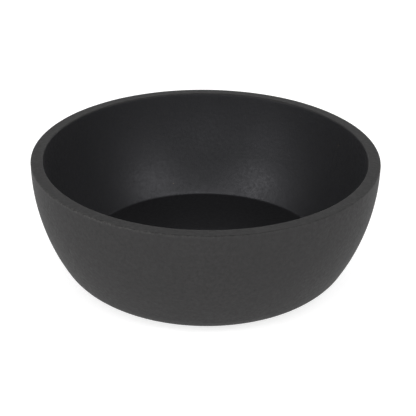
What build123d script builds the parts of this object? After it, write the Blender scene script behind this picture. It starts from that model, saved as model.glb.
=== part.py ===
from build123d import *
import math
import os

# A round open planter bowl of thick moulded stone composite.  It stands on four rubber
# pads, and a rubber stopper that lifts out closes the drain hole in its floor.
# Millimetres, +Z up, origin on the ground under the centre of the bowl.

# Driving dimensions
rim_radius = 140.0          # outside radius at the rim
overall_height = 100.0      # ground to rim
wall = 10.0                 # wall thickness, the same all the way down
floor_thickness = 9.0
pad_height = 1.5            # how far the pads hold the bowl off the ground
band_height = 4.0           # upright band below the rim, where the wall starts to turn in
side_radius = 165.0         # outside arc of the wall, seen from the side
heel_radius = 27.5          # tighter outside arc from the wall to the base

# Edge breaks
rim_outer_round = 1.0
rim_inner_round = 1.1
floor_corner_round = 2.0
recess_chamfer = 1.0

# Underside: a foot ring round a shallow recess
recess_radius = 75.0
recess_depth = 2.0

# Drain hole and its stopper
drain_radius = 8.0
drain_chamfer = 0.6
plug_top_radius = 7.4
plug_tip_radius = 6.9
plug_length = 8.0
plug_tip_chamfer = 0.8
rib_clearance = 0.05        # radial gap between a rib's crest and the hole
rib_round = 0.9
rib_depths = (2.0, 5.0)     # how far below the floor each rib's crest lies
flange_radius = 12.0
flange_thickness = 2.0
flange_round = 0.8
grip_length = 13.0
grip_width = 4.0
grip_height = 5.0
grip_corner_round = 1.8
grip_top_round = 1.4

# Foot pads
pad_count = 4
pad_radius = 7.0
pad_circle_radius = 85.0
pad_edge_round = 0.5

# Levels and arcs worked out from the driving dimensions
base_z = pad_height
floor_z = base_z + floor_thickness
rim_z = overall_height
band_z = rim_z - band_height
inner_rim_radius = rim_radius - wall
arc_centre_r = rim_radius - side_radius
inner_side_radius = side_radius - wall
heel_centre_z = base_z + heel_radius
side_slope = math.degrees(math.asin((band_z - heel_centre_z) / (side_radius - heel_radius)))
heel_centre_r = arc_centre_r + (side_radius - heel_radius) * math.cos(math.radians(side_slope))
inner_slope = math.degrees(math.asin((band_z - floor_z) / inner_side_radius))
flange_z = floor_z + flange_thickness
plug_tip_z = floor_z - plug_length
rib_crest_radius = drain_radius - rib_clearance
level_tolerance = 0.01

os.makedirs("parts", exist_ok=True)


# Bowl: one moulded piece, a half section turned about the upright axis
with BuildPart() as bowl_body:
    with BuildSketch(Plane.XZ):
        with BuildLine():
            base = Line((0, base_z), (heel_centre_r, base_z))
            heel = CenterArc((heel_centre_r, heel_centre_z), heel_radius, -90, 90 - side_slope)
            side = CenterArc((arc_centre_r, band_z), side_radius, -side_slope, side_slope)
            outer_band = Line(side @ 1, (rim_radius, rim_z))
            rim = Line(outer_band @ 1, (inner_rim_radius, rim_z))
            inner_band = Line(rim @ 1, (inner_rim_radius, band_z))
            inner_side = CenterArc((arc_centre_r, band_z), inner_side_radius, 0, -inner_slope)
            inner_floor = Line(inner_side @ 1, (0, floor_z))
            centre_line = Line(inner_floor @ 1, base @ 0)
        make_face()
    revolve(axis=Axis.Z)

    # Soft edges: rim outside, rim inside, and where the wall meets the floor
    circles = bowl_body.edges().filter_by(GeomType.CIRCLE)
    rim_edges = circles.filter_by_position(
        Axis.Z, rim_z - level_tolerance, rim_z + level_tolerance
    ).sort_by(SortBy.LENGTH)
    floor_edges = circles.filter_by_position(
        Axis.Z, floor_z - level_tolerance, floor_z + level_tolerance
    ).sort_by(SortBy.LENGTH)
    fillet(rim_edges[-1], rim_outer_round)
    fillet(rim_edges[0], rim_inner_round)
    fillet(floor_edges[-1], floor_corner_round)

    # Shallow recess underneath, which leaves the foot ring
    with BuildSketch(Plane.XY.offset(base_z)):
        Circle(recess_radius)
    extrude(amount=recess_depth, mode=Mode.SUBTRACT)
    foot_ring_edge = (
        bowl_body.edges()
        .filter_by(GeomType.CIRCLE)
        .filter_by_position(Axis.Z, base_z - level_tolerance, base_z + level_tolerance)
        .sort_by(SortBy.LENGTH)[0]
    )
    chamfer(foot_ring_edge, recess_chamfer)

    # Drain hole through the middle of the floor, its lower edge broken
    with Locations((0, 0, floor_z)):
        Hole(drain_radius)
    recess_z = base_z + recess_depth
    drain_edge = (
        bowl_body.edges()
        .filter_by(GeomType.CIRCLE)
        .filter_by_position(Axis.Z, recess_z - level_tolerance, recess_z + level_tolerance)
        .sort_by(SortBy.LENGTH)[0]
    )
    chamfer(drain_edge, drain_chamfer)
bowl_body.part.label = "bowl_body"
export_step(bowl_body.part, "parts/bowl_body.step")


# Drain stopper: a tapered body with sealing ribs, a flange that lies on the floor, and a grip bar
with BuildPart() as drain_plug:
    with BuildSketch(Plane.XZ):
        Polygon(
            (0, plug_tip_z),
            (plug_tip_radius, plug_tip_z),
            (plug_top_radius, floor_z),
            (flange_radius, floor_z),
            (flange_radius, flange_z),
            (0, flange_z),
            align=None,
        )
    revolve(axis=Axis.Z)
    plug_circles = drain_plug.edges().filter_by(GeomType.CIRCLE).group_by(Axis.Z)
    chamfer(plug_circles[0], plug_tip_chamfer)
    fillet(plug_circles[-1], flange_round)

    # Round sealing ribs, whose crests just clear the drain hole
    for rib_depth in rib_depths:
        with BuildSketch(Plane.XZ):
            with Locations((rib_crest_radius - rib_round, floor_z - rib_depth)):
                Circle(rib_round)
        revolve(axis=Axis.Z)

    with BuildSketch(Plane.XY.offset(flange_z)):
        RectangleRounded(grip_length, grip_width, grip_corner_round)
    extrude(amount=grip_height)
    fillet(drain_plug.edges().group_by(Axis.Z)[-1], grip_top_round)
drain_plug.part.label = "drain_plug"
export_step(drain_plug.part, "parts/drain_plug.step")


# Foot pads: round rubber pads stuck under the foot ring, evenly spaced
pad_spots = PolarLocations(pad_circle_radius, pad_count).local_locations
for number, spot in enumerate(pad_spots, start=1):
    with BuildPart() as foot_pad:
        with BuildSketch(Plane(spot)):
            Circle(pad_radius)
        extrude(amount=pad_height)
        fillet(foot_pad.edges().group_by(Axis.Z)[0], pad_edge_round)
    foot_pad.part.label = f"foot_pad_{number}"
    export_step(foot_pad.part, f"parts/foot_pad_{number}.step")
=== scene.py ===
import math

import bpy
from mathutils import Matrix, Vector, noise


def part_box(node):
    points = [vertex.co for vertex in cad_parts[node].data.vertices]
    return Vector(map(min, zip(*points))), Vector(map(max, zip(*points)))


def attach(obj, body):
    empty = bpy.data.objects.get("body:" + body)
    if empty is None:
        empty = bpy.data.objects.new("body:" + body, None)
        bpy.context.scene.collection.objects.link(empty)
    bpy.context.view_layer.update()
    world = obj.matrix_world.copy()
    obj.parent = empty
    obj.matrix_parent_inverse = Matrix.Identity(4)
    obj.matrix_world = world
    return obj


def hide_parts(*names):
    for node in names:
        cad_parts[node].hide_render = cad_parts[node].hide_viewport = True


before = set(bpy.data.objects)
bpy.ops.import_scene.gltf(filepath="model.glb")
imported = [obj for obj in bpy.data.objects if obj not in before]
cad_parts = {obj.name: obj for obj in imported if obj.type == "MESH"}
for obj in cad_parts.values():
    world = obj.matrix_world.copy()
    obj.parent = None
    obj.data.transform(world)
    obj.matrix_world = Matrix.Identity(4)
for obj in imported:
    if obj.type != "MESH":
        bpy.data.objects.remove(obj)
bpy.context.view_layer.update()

MM = 0.001

# Levels and radii of the bowl and the stopper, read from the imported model
bowl_low, bowl_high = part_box("bowl_body")
RIM_RADIUS = min(bowl_high.x, bowl_high.y, -bowl_low.x, -bowl_low.y)
RIM_Z = bowl_high.z
BASE_Z = bowl_low.z
FLANGE_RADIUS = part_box("drain_plug")[1].x

# The section of the bowl, as the CAD source has it
WALL = 10 * MM
FLOOR_THICKNESS = 9 * MM
BAND_HEIGHT = 4 * MM
SIDE_RADIUS = 165 * MM
HEEL_RADIUS = 27.5 * MM
RIM_OUTER_ROUND = 1.0 * MM
RIM_INNER_ROUND = 1.1 * MM
FLOOR_CORNER_ROUND = 2.0 * MM
RECESS_RADIUS = 75 * MM
RECESS_DEPTH = 2 * MM
RECESS_CHAMFER = 1 * MM
DRAIN_RADIUS = 8 * MM
DRAIN_CHAMFER = 0.6 * MM

FLOOR_Z = BASE_Z + FLOOR_THICKNESS
RECESS_Z = BASE_Z + RECESS_DEPTH
BAND_Z = RIM_Z - BAND_HEIGHT
INNER_RADIUS = RIM_RADIUS - WALL
ARC_CENTRE = Vector((RIM_RADIUS - SIDE_RADIUS, BAND_Z))
INNER_SIDE_RADIUS = SIDE_RADIUS - WALL

# How many steps the bowl's mesh has round the axis
TURN_STEPS = 400

# How uneven the cast surface is. It evens out over SETTLE_REACH towards the stopper and the pads
WAVE_DEPTH, WAVE_LENGTH = 0.16 * MM, 34 * MM
LUMP_DEPTH, LUMP_LENGTH = 0.05 * MM, 9 * MM
WAVE_SEED, LUMP_SEED = 3.1, 7.7
SETTLE_REACH = 10 * MM

# Where the surface is painted paler: a little all round the outer rim edge and on the foot ring as wear,
# and most of all along the outer rim edge at the front left as a painted highlight
RIM_PALE_REACH = 2.2 * MM
RIM_HIGHLIGHT_SIDE = math.radians(-132)
RIM_HIGHLIGHT_SPREAD = math.radians(36)
RIM_WEAR_ALL_ROUND, RIM_PAINTED_HIGHLIGHT = 0.15, 0.55
FOOT_WEAR_RADIUS = 97 * MM
FOOT_WEAR = 0.5


# ---------------------------------------------------------------- the bowl's mesh

def arc(centre, radius, start, end, steps):
    """Points on an arc in the section plane, angles in degrees from the outward direction."""
    angles = [math.radians(start + (end - start) * i / steps) for i in range(steps + 1)]
    return [centre + radius * Vector((math.cos(a), math.sin(a))) for a in angles]


def line(start, end, steps):
    start, end = Vector(start), Vector(end)
    return [start.lerp(end, i / steps) for i in range(steps + 1)]


def floor_corner():
    """The round where the inside wall meets the floor: its centre, and how steep the wall is there."""
    reach = INNER_SIDE_RADIUS - FLOOR_CORNER_ROUND
    centre_z = FLOOR_Z + FLOOR_CORNER_ROUND
    centre = Vector((ARC_CENTRE.x + math.sqrt(reach**2 - (BAND_Z - centre_z) ** 2), centre_z))
    slope = math.degrees(math.asin((BAND_Z - centre_z) / reach))
    return centre, slope


def section():
    """The bowl's closed section, from the drain hole out over the floor and back underneath."""
    corner, wall_slope = floor_corner()
    heel_z = BASE_Z + HEEL_RADIUS
    side_slope = math.degrees(math.asin((BAND_Z - heel_z) / (SIDE_RADIUS - HEEL_RADIUS)))
    heel_reach = (SIDE_RADIUS - HEEL_RADIUS) * math.cos(math.radians(side_slope))
    heel = Vector((ARC_CENTRE.x + heel_reach, heel_z))
    inner_round = Vector((INNER_RADIUS + RIM_INNER_ROUND, RIM_Z - RIM_INNER_ROUND))
    outer_round = Vector((RIM_RADIUS - RIM_OUTER_ROUND, RIM_Z - RIM_OUTER_ROUND))
    chamfer_radius = RECESS_RADIUS + RECESS_CHAMFER
    stretches = [
        ("drain", line((DRAIN_RADIUS, RECESS_Z + DRAIN_CHAMFER), (DRAIN_RADIUS, FLOOR_Z), 4)),
        ("inside", line((DRAIN_RADIUS, FLOOR_Z), (corner.x, FLOOR_Z), 40)),
        ("inside", arc(corner, FLOOR_CORNER_ROUND, -90, -wall_slope, 5)),
        ("inside", arc(ARC_CENTRE, INNER_SIDE_RADIUS, -wall_slope, 0, 48)),
        ("inside", line((INNER_RADIUS, BAND_Z), (INNER_RADIUS, inner_round.y), 2)),
        ("rim", arc(inner_round, RIM_INNER_ROUND, 180, 90, 5)),
        ("rim", line((inner_round.x, RIM_Z), (outer_round.x, RIM_Z), 7)),
        ("rim", arc(outer_round, RIM_OUTER_ROUND, 90, 0, 5)),
        ("outside", line((RIM_RADIUS, outer_round.y), (RIM_RADIUS, BAND_Z), 2)),
        ("outside", arc(ARC_CENTRE, SIDE_RADIUS, 0, -side_slope, 48)),
        ("outside", arc(heel, HEEL_RADIUS, -side_slope, -90, 18)),
        ("under", line((heel.x, BASE_Z), (chamfer_radius, BASE_Z), 8)),
        ("under", line((chamfer_radius, BASE_Z), (RECESS_RADIUS, BASE_Z + RECESS_CHAMFER), 1)),
        ("under", line((RECESS_RADIUS, BASE_Z + RECESS_CHAMFER), (RECESS_RADIUS, RECESS_Z), 1)),
        ("under", line((RECESS_RADIUS, RECESS_Z), (DRAIN_RADIUS + DRAIN_CHAMFER, RECESS_Z), 24)),
        ("drain", line((DRAIN_RADIUS + DRAIN_CHAMFER, RECESS_Z),
                       (DRAIN_RADIUS, RECESS_Z + DRAIN_CHAMFER), 1)),
    ]
    points, zones = [], []
    for zone, stretch in stretches:
        points += stretch[:-1]
        zones += [zone] * (len(stretch) - 1)
    return points, zones


def section_normals(points):
    """Unit normals in the section plane, pointing out of the solid."""
    normals = []
    for i in range(len(points)):
        along = points[(i + 1) % len(points)] - points[i - 1]
        normals.append(Vector((-along.y, along.x)).normalized())
    return normals


def clamped(value):
    return min(max(value, 0.0), 1.0)


def smooth_noise(place, length, seed):
    """Smooth noise from 0 to 1 with features of that length."""
    offset = Vector((seed, seed * 1.7, seed * 2.3))
    return clamped(0.5 + 0.5 * noise.noise(place / length + offset))


def relief(place):
    """How far the cast surface lies below its design shape, never above it."""
    wave = smooth_noise(place, WAVE_LENGTH, WAVE_SEED)
    lump = smooth_noise(place, LUMP_LENGTH, LUMP_SEED)
    return WAVE_DEPTH * wave + LUMP_DEPTH * lump


def freedom(point, zone):
    """1 where the surface is as uneven as it was cast, 0 where the stopper or a pad lies on it."""
    if zone in ("drain", "under"):
        return 0.0
    if zone == "inside":
        return clamped((point.x - FLANGE_RADIUS) / SETTLE_REACH)
    return clamped((point.y - BASE_Z) / SETTLE_REACH)


def edge_wear_and_highlight(point, angle):
    """How pale the bowl is painted there: wear round the outer rim edge and on the foot ring, and a painted
    highlight on the rim edge at the front left.
    """
    on_rim = clamped(1 - (point - Vector((RIM_RADIUS, RIM_Z))).length / RIM_PALE_REACH)
    away = math.remainder(angle - RIM_HIGHLIGHT_SIDE, 2 * math.pi) / RIM_HIGHLIGHT_SPREAD
    stands = RECESS_RADIUS < point.x < FOOT_WEAR_RADIUS and point.y < BASE_Z + RECESS_CHAMFER
    on_foot = FOOT_WEAR if stands else 0.0
    return on_rim * (RIM_WEAR_ALL_ROUND + RIM_PAINTED_HIGHLIGHT * math.exp(-away**2)) + on_foot


def build_bowl(outside_material, inside_material):
    """The section turned about the upright axis, as one closed mesh with an uneven skin."""
    points, zones = section()
    normals = section_normals(points)
    count = len(points)
    vertices, wears_and_highlights, faces = [], [], []
    for turn in range(TURN_STEPS):
        angle = 2 * math.pi * turn / TURN_STEPS
        c, s = math.cos(angle), math.sin(angle)
        for point, normal, zone in zip(points, normals, zones):
            place = Vector((point.x * c, point.x * s, point.y))
            out = Vector((normal.x * c, normal.x * s, normal.y))
            vertices.append(place - out * relief(place) * freedom(point, zone))
            wears_and_highlights.append(edge_wear_and_highlight(point, angle))
        here, after = turn * count, (turn + 1) % TURN_STEPS * count
        for i in range(count):
            j = (i + 1) % count
            faces.append((here + i, after + i, after + j, here + j))
    mesh = bpy.data.meshes.new("bowl_shell")
    mesh.from_pydata(vertices, [], faces)
    mesh.update()
    mesh.shade_smooth()
    mesh.materials.append(outside_material)
    mesh.materials.append(inside_material)
    outside_slot, inside_slot = 0, 1
    slots = [inside_slot if zone == "inside" else outside_slot for zone in zones]
    mesh.polygons.foreach_set("material_index", slots * TURN_STEPS)
    wear_and_highlight = mesh.attributes.new("wear_and_highlight", "FLOAT", "POINT")
    wear_and_highlight.data.foreach_set("value", wears_and_highlights)
    shell = bpy.data.objects.new("bowl_shell", mesh)
    bpy.context.scene.collection.objects.link(shell)
    return shell


# ---------------------------------------------------------------- materials

# The range that most of a noise's values lie in
NOISE_LOW, NOISE_HIGH = 0.3, 0.7


class Nodes:
    """Short ways to add and join shader nodes. Sizes are in metres."""

    def __init__(self, name):
        self.material = bpy.data.materials.new(name)
        self.material.use_nodes = True
        self.tree = self.material.node_tree
        self.shader = self.tree.nodes["Principled BSDF"]
        self.place = self.add("ShaderNodeTexCoord").outputs["Object"]

    def add(self, kind, links=None, **settings):
        node = self.tree.nodes.new(kind)
        for name, value in settings.items():
            setattr(node, name, value)
        for socket, value in (links or {}).items():
            self.put(node.inputs[socket], value)
        return node

    def put(self, socket, value):
        """Joins the socket to another node's output, or sets its own value."""
        if isinstance(value, bpy.types.NodeSocket):
            self.tree.links.new(value, socket)
        else:
            socket.default_value = value

    def noise(self, size, detail=2.0, rough=0.5):
        links = {"Vector": self.place, "Scale": 1 / size, "Detail": detail, "Roughness": rough}
        return self.add("ShaderNodeTexNoise", links).outputs["Fac"]

    def cells(self, size):
        return self.add("ShaderNodeTexVoronoi", {"Vector": self.place, "Scale": 1 / size})

    def ramp(self, value, low, high, to_low=0.0, to_high=1.0):
        links = {0: value, 1: low, 2: high, 3: to_low, 4: to_high}
        return self.add("ShaderNodeMapRange", links).outputs[0]

    def spread(self, value, to_low, to_high):
        """A noise's middle range turned into the range given."""
        return self.ramp(value, NOISE_LOW, NOISE_HIGH, to_low, to_high)

    def math(self, operation, a, b):
        return self.add("ShaderNodeMath", {0: a, 1: b}, operation=operation).outputs[0]

    def times(self, a, b):
        return self.math("MULTIPLY", a, b)

    def attribute(self, name):
        return self.add("ShaderNodeAttribute", attribute_name=name).outputs["Fac"]

    def mix(self, share, low, high, blend="MIX"):
        """Blender's colour mix: inputs 6 and 7 are its two colours and output 2 the result."""
        links = {0: share, 6: low, 7: high}
        return self.add("ShaderNodeMix", links, data_type="RGBA", blend_type=blend).outputs[2]

    def grey(self, tone):
        return self.add("ShaderNodeCombineColor", {0: tone, 1: tone, 2: tone}).outputs[0]

    def shaded(self, colour, shade):
        """The colour times the number shade."""
        return self.mix(1.0, colour, self.grey(shade), blend="MULTIPLY")

    def bump(self, height, distance, below=None):
        links = {"Height": height, "Distance": distance, "Strength": 1.0}
        if below is not None:
            links["Normal"] = below
        return self.add("ShaderNodeBump", links).outputs["Normal"]

    def finish(self, **values):
        """Puts each value on the shader's socket of that name, and gives the material."""
        for name, value in values.items():
            self.put(self.shader.inputs[name.replace("_", " ")], value)
        return self.material


# The cast stone: the outside is open-grained and matt, the inside smoother, satin and a little bluer.
# Colours are linear, with an alpha of 1.
OUTSIDE_COLOUR = (0.0165, 0.0160, 0.0163, 1)
INSIDE_COLOUR = (0.0137, 0.0137, 0.0147, 1)
OUTSIDE_TINT = (1, 1, 1, 1)
INSIDE_TINT = (0.94, 0.94, 1, 1)
FLECK_COLOUR = (0.11, 0.08, 0.05, 1)
# Pale colour for wear, and for the painted highlight on the front left of the outer rim edge
WORN_AND_HIGHLIGHT_COLOUR = (0.075, 0.073, 0.070, 1)

# Sizes of what is in its surface, and how many cells have a fleck. A pore or a fleck lies round the
# cell's own point, and its inner and outer radius are shares of the cell's size
GRAIN_SIZE = 0.75 * MM
CHIP_SIZE = 1.5 * MM
PORE_SPACING = 2.4 * MM
PORE_INNER, PORE_OUTER = 0.12, 0.34
STIPPLE_SIZE = 2.8 * MM
SAND_SIZE = 3.2 * MM
FLECK_SPACING = 6 * MM
FLECK_INNER, FLECK_OUTER = 0.05, 0.09
FLECK_SHARE = 0.008
CLOUD_SIZE = 38 * MM

# How far each pattern varies the tone, how the clouds make the stipple patchy, and where chips show
GRAIN_TONES = (0.90, 1.10)
CLOUD_TONES = (0.95, 1.05)
PATCH_LOW, PATCH_HIGH = 0.35, 0.65
PATCH_STIPPLE = (0.5, 1.3)
CHIP_FROM, CHIP_FULL = 0.40, 0.68


def fleck_mask(n):
    """1 on the few small flecks, which only some of the cells have, and 0 elsewhere."""
    cells = n.cells(FLECK_SPACING)
    pick = n.add("ShaderNodeSeparateColor", {0: cells.outputs["Color"]}).outputs[0]
    chosen = n.math("GREATER_THAN", pick, 1 - FLECK_SHARE)
    return n.times(chosen, n.ramp(cells.outputs["Distance"], FLECK_INNER, FLECK_OUTER, 1, 0))


def stone_material(name, colour, tint, roughness, roughness_spread, specular, stipple_share,
                   sand_depth, pore_depth, grain_depth):
    """Cast stone whose stipple varies its tone by stipple_share and its roughness by the spread."""
    n = Nodes(name)
    grain = n.noise(GRAIN_SIZE, rough=0.6)
    stipple = n.noise(STIPPLE_SIZE, detail=3.0, rough=0.7)
    cloud = n.noise(CLOUD_SIZE, detail=3.0, rough=0.55)

    # Colour: fine grain, slow clouds, and stipple that is stronger in some patches than in others
    patchy = n.ramp(cloud, PATCH_LOW, PATCH_HIGH, *PATCH_STIPPLE)
    spots = n.times(n.spread(stipple, -stipple_share, stipple_share), patchy)
    shade = n.times(n.spread(grain, *GRAIN_TONES), n.spread(cloud, *CLOUD_TONES))
    toned = n.shaded(colour, n.times(shade, n.math("ADD", spots, 1.0)))
    toned = n.mix(fleck_mask(n), toned, FLECK_COLOUR)
    chips = n.ramp(n.noise(CHIP_SIZE, rough=0.6), CHIP_FROM, CHIP_FULL)
    # Paler where the mesh marks wear and the painted rim highlight, broken up into chips
    toned = n.mix(n.times(n.attribute("wear_and_highlight"), chips), toned, WORN_AND_HIGHLIGHT_COLOUR)

    # Relief: sandy lumps, small pores and grain, one over the other
    normal = n.bump(n.noise(SAND_SIZE), sand_depth)
    pores = n.ramp(n.cells(PORE_SPACING).outputs["Distance"], PORE_INNER, PORE_OUTER)
    normal = n.bump(pores, pore_depth, below=normal)
    normal = n.bump(grain, grain_depth, below=normal)

    # Pale spots of the stipple shine more
    rough = n.spread(stipple, roughness + roughness_spread, roughness - roughness_spread)
    return n.finish(Base_Color=toned, Roughness=rough, Normal=normal,
                    Specular_IOR_Level=specular, Specular_Tint=tint)


RUBBER_COLOUR = (0.020, 0.020, 0.021, 1)
DUSTY_RUBBER_COLOUR = (0.044, 0.044, 0.046, 1)
RUBBER_SPECULAR = 0.45
STOPPER_ROUGHNESS, PAD_ROUGHNESS = 0.45, 0.60
DUST_SIZE = 6 * MM
DUST_FROM, DUST_FULL = 0.45, 0.75
DUST_ROUGHNESS = 0.15
SKIN_SIZE, SKIN_DEPTH = 0.5 * MM, 0.015 * MM


def rubber_material(name, roughness):
    """Moulded black rubber with a fine skin and a little dust on it."""
    n = Nodes(name)
    dust = n.noise(DUST_SIZE, detail=3.0)
    colour = n.mix(n.ramp(dust, DUST_FROM, DUST_FULL), RUBBER_COLOUR, DUSTY_RUBBER_COLOUR)
    rough = n.spread(dust, roughness, roughness + DUST_ROUGHNESS)
    return n.finish(Base_Color=colour, Roughness=rough, Specular_IOR_Level=RUBBER_SPECULAR,
                    Normal=n.bump(n.noise(SKIN_SIZE), SKIN_DEPTH))


def dress(node_name, material):
    """Gives a CAD node that stays visible a better material, in its object's own slots."""
    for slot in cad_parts[node_name].material_slots:
        slot.material = material


# ---------------------------------------------------------------- stage, camera, light

STAGE_SIZE = 12.0
STAGE_DROP = 0.1 * MM
PAPER_MOTTLE = 60 * MM
PAPER_TONES = (0.54, 0.56)
PAPER_ROUGHNESS, PAPER_SPECULAR = 0.9, 0.1

# How strongly the studio floor glows: up to the first distance from its middle, and past the second
NEAR_GLOW, FAR_GLOW = 0.70, 1.05
NEAR_GLOW_REACH, FAR_GLOW_REACH = 0.9, 2.2


def build_stage():
    n = Nodes("studio_floor_paper")
    tone = n.spread(n.noise(PAPER_MOTTLE), *PAPER_TONES)
    reach = n.add("ShaderNodeVectorMath", {0: n.place}, operation="LENGTH").outputs["Value"]
    glow = n.ramp(reach, NEAR_GLOW_REACH, FAR_GLOW_REACH, NEAR_GLOW, FAR_GLOW)
    paper = n.finish(Base_Color=n.grey(tone), Roughness=PAPER_ROUGHNESS,
                     Specular_IOR_Level=PAPER_SPECULAR, Emission_Color=(1, 1, 1, 1), Emission_Strength=glow)
    half = STAGE_SIZE / 2
    corners = [(-half, -half), (half, -half), (half, half), (-half, half)]
    mesh = bpy.data.meshes.new("studio_floor")
    mesh.from_pydata([(x, y, -STAGE_DROP) for x, y in corners], [], [(0, 1, 2, 3)])
    mesh.materials.append(paper)
    floor = bpy.data.objects.new("studio_floor", mesh)
    bpy.context.scene.collection.objects.link(floor)


# The camera stands about 6.6 rim radii from the point it looks at, with a long lens. Its numbers began
# as a least-squares fit to the bowl's edges, and the lens and the height of the aim were then adjusted
CAMERA_DISTANCE = 6.568 * RIM_RADIUS
CAMERA_ELEVATION = math.radians(27.36)
CAMERA_ROLL = math.radians(0.648)
CAMERA_AIM = Vector((0.0163 * RIM_RADIUS, 0, RIM_Z - 0.359 * RIM_RADIUS))
SENSOR_WIDTH = 36.0
LENS = 96.26


def build_camera():
    c, s = math.cos(CAMERA_ELEVATION), math.sin(CAMERA_ELEVATION)
    forward, up, right = Vector((0, c, -s)), Vector((0, s, c)), Vector((1, 0, 0))
    roll_c, roll_s = math.cos(CAMERA_ROLL), math.sin(CAMERA_ROLL)
    turned_right = right * roll_c + up * roll_s
    turned_up = up * roll_c - right * roll_s
    data = bpy.data.cameras.new("camera")
    data.sensor_width = SENSOR_WIDTH
    data.lens = LENS
    camera = bpy.data.objects.new("camera", data)
    camera.location = CAMERA_AIM - forward * CAMERA_DISTANCE
    camera.rotation_mode = "QUATERNION"
    turned = Matrix((turned_right, turned_up, -forward)).transposed()
    camera.rotation_quaternion = turned.to_quaternion()
    bpy.context.scene.collection.objects.link(camera)
    bpy.context.scene.camera = camera


LIGHT_DISTANCE = 2.4
LIGHT_AIM = Vector((0, 0, RIM_Z / 2))

# Each soft box: degrees round from the front, degrees up, size in metres, power in watts. The powers
# and the two horizon values below began as a least-squares fit to the bowl's brightness, rounded. The
# powers of key_left, key_right, low_left, low_right, front_low and back were then changed
SOFT_BOXES = {
    "key_left": (-50, 31, (1.1, 0.9), 9.3),
    "key_right": (50, 31, (1.1, 0.9), 8.2),
    "low_left": (-48, 8, (1.2, 0.6), 11.6),
    "low_right": (48, 8, (1.2, 0.6), 5.5),
    "front_low": (0, 8, (1.6, 0.6), 8.2),
    "front_high": (0, 52, (2.4, 0.7), 15),
    "side_left": (-80, 24, (1.0, 0.9), 2.4),
    "side_right": (80, 24, (1.0, 0.9), 0.7),
    "back_left": (-132, 30, (1.1, 0.9), 6.2),
    "back_right": (132, 30, (1.1, 0.9), 8),
    "back": (180, 34, (2.0, 0.9), 8.6),
    "top": (0, 88, (1.2, 1.2), 1.0),
}

# The studio's own light: full up to the first height, faint by the second, as sines of the angle up
HORIZON_BAND_TOP, HORIZON_FADE_TOP = 0.20, 0.60
HORIZON_LIGHT, OVERHEAD_LIGHT = 1.2, 0.24


def soft_box(name, around, height, size, power):
    """A rectangle of soft light at LIGHT_DISTANCE, turned towards the bowl."""
    a, e = math.radians(around), math.radians(height)
    towards = Vector((math.sin(a) * math.cos(e), -math.cos(a) * math.cos(e), math.sin(e)))
    data = bpy.data.lights.new(name, "AREA")
    data.shape = "RECTANGLE"
    data.size, data.size_y = size
    data.energy = power
    light = bpy.data.objects.new(name, data)
    light.location = towards * LIGHT_DISTANCE
    light.rotation_mode = "QUATERNION"
    light.rotation_quaternion = (LIGHT_AIM - light.location).to_track_quat("-Z", "Y")
    bpy.context.scene.collection.objects.link(light)


def build_world():
    """A pale band all round the horizon that fades out overhead."""
    world = bpy.data.worlds.new("studio")
    world.use_nodes = True
    tree = world.node_tree
    background = tree.nodes["Background"]
    background.inputs["Color"].default_value = (1, 1, 1, 1)
    direction = tree.nodes.new("ShaderNodeTexCoord")
    parts = tree.nodes.new("ShaderNodeSeparateXYZ")
    band = tree.nodes.new("ShaderNodeMapRange")
    band.interpolation_type = "SMOOTHSTEP"
    band.inputs["From Min"].default_value = HORIZON_BAND_TOP
    band.inputs["From Max"].default_value = HORIZON_FADE_TOP
    band.inputs["To Min"].default_value = HORIZON_LIGHT
    band.inputs["To Max"].default_value = OVERHEAD_LIGHT
    tree.links.new(direction.outputs["Generated"], parts.inputs[0])
    tree.links.new(parts.outputs["Z"], band.inputs["Value"])
    tree.links.new(band.outputs[0], background.inputs["Strength"])
    bpy.context.scene.world = world


def build_light():
    build_world()
    for name, settings in SOFT_BOXES.items():
        soft_box(name, *settings)
    bpy.context.scene.view_settings.view_transform = "Standard"


# ---------------------------------------------------------------- putting it together

stone_outside = stone_material(
    "cast_stone_outside", OUTSIDE_COLOUR, OUTSIDE_TINT,
    roughness=0.70, roughness_spread=0.06, specular=0.26, stipple_share=0.13,
    sand_depth=0.16 * MM, pore_depth=0.045 * MM, grain_depth=0.012 * MM)
stone_inside = stone_material(
    "cast_stone_inside", INSIDE_COLOUR, INSIDE_TINT,
    roughness=0.41, roughness_spread=0.085, specular=0.50, stipple_share=0.24,
    sand_depth=0.09 * MM, pore_depth=0.015 * MM, grain_depth=0.006 * MM)
bowl = build_bowl(stone_outside, stone_inside)
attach(bowl, "bowl")
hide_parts("bowl_body")

dress("drain_plug", rubber_material("stopper_rubber", STOPPER_ROUGHNESS))
pad_rubber = rubber_material("pad_rubber", PAD_ROUGHNESS)
for node_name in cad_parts:
    if node_name.startswith("foot_pad"):
        dress(node_name, pad_rubber)

build_stage()
build_camera()
build_light()
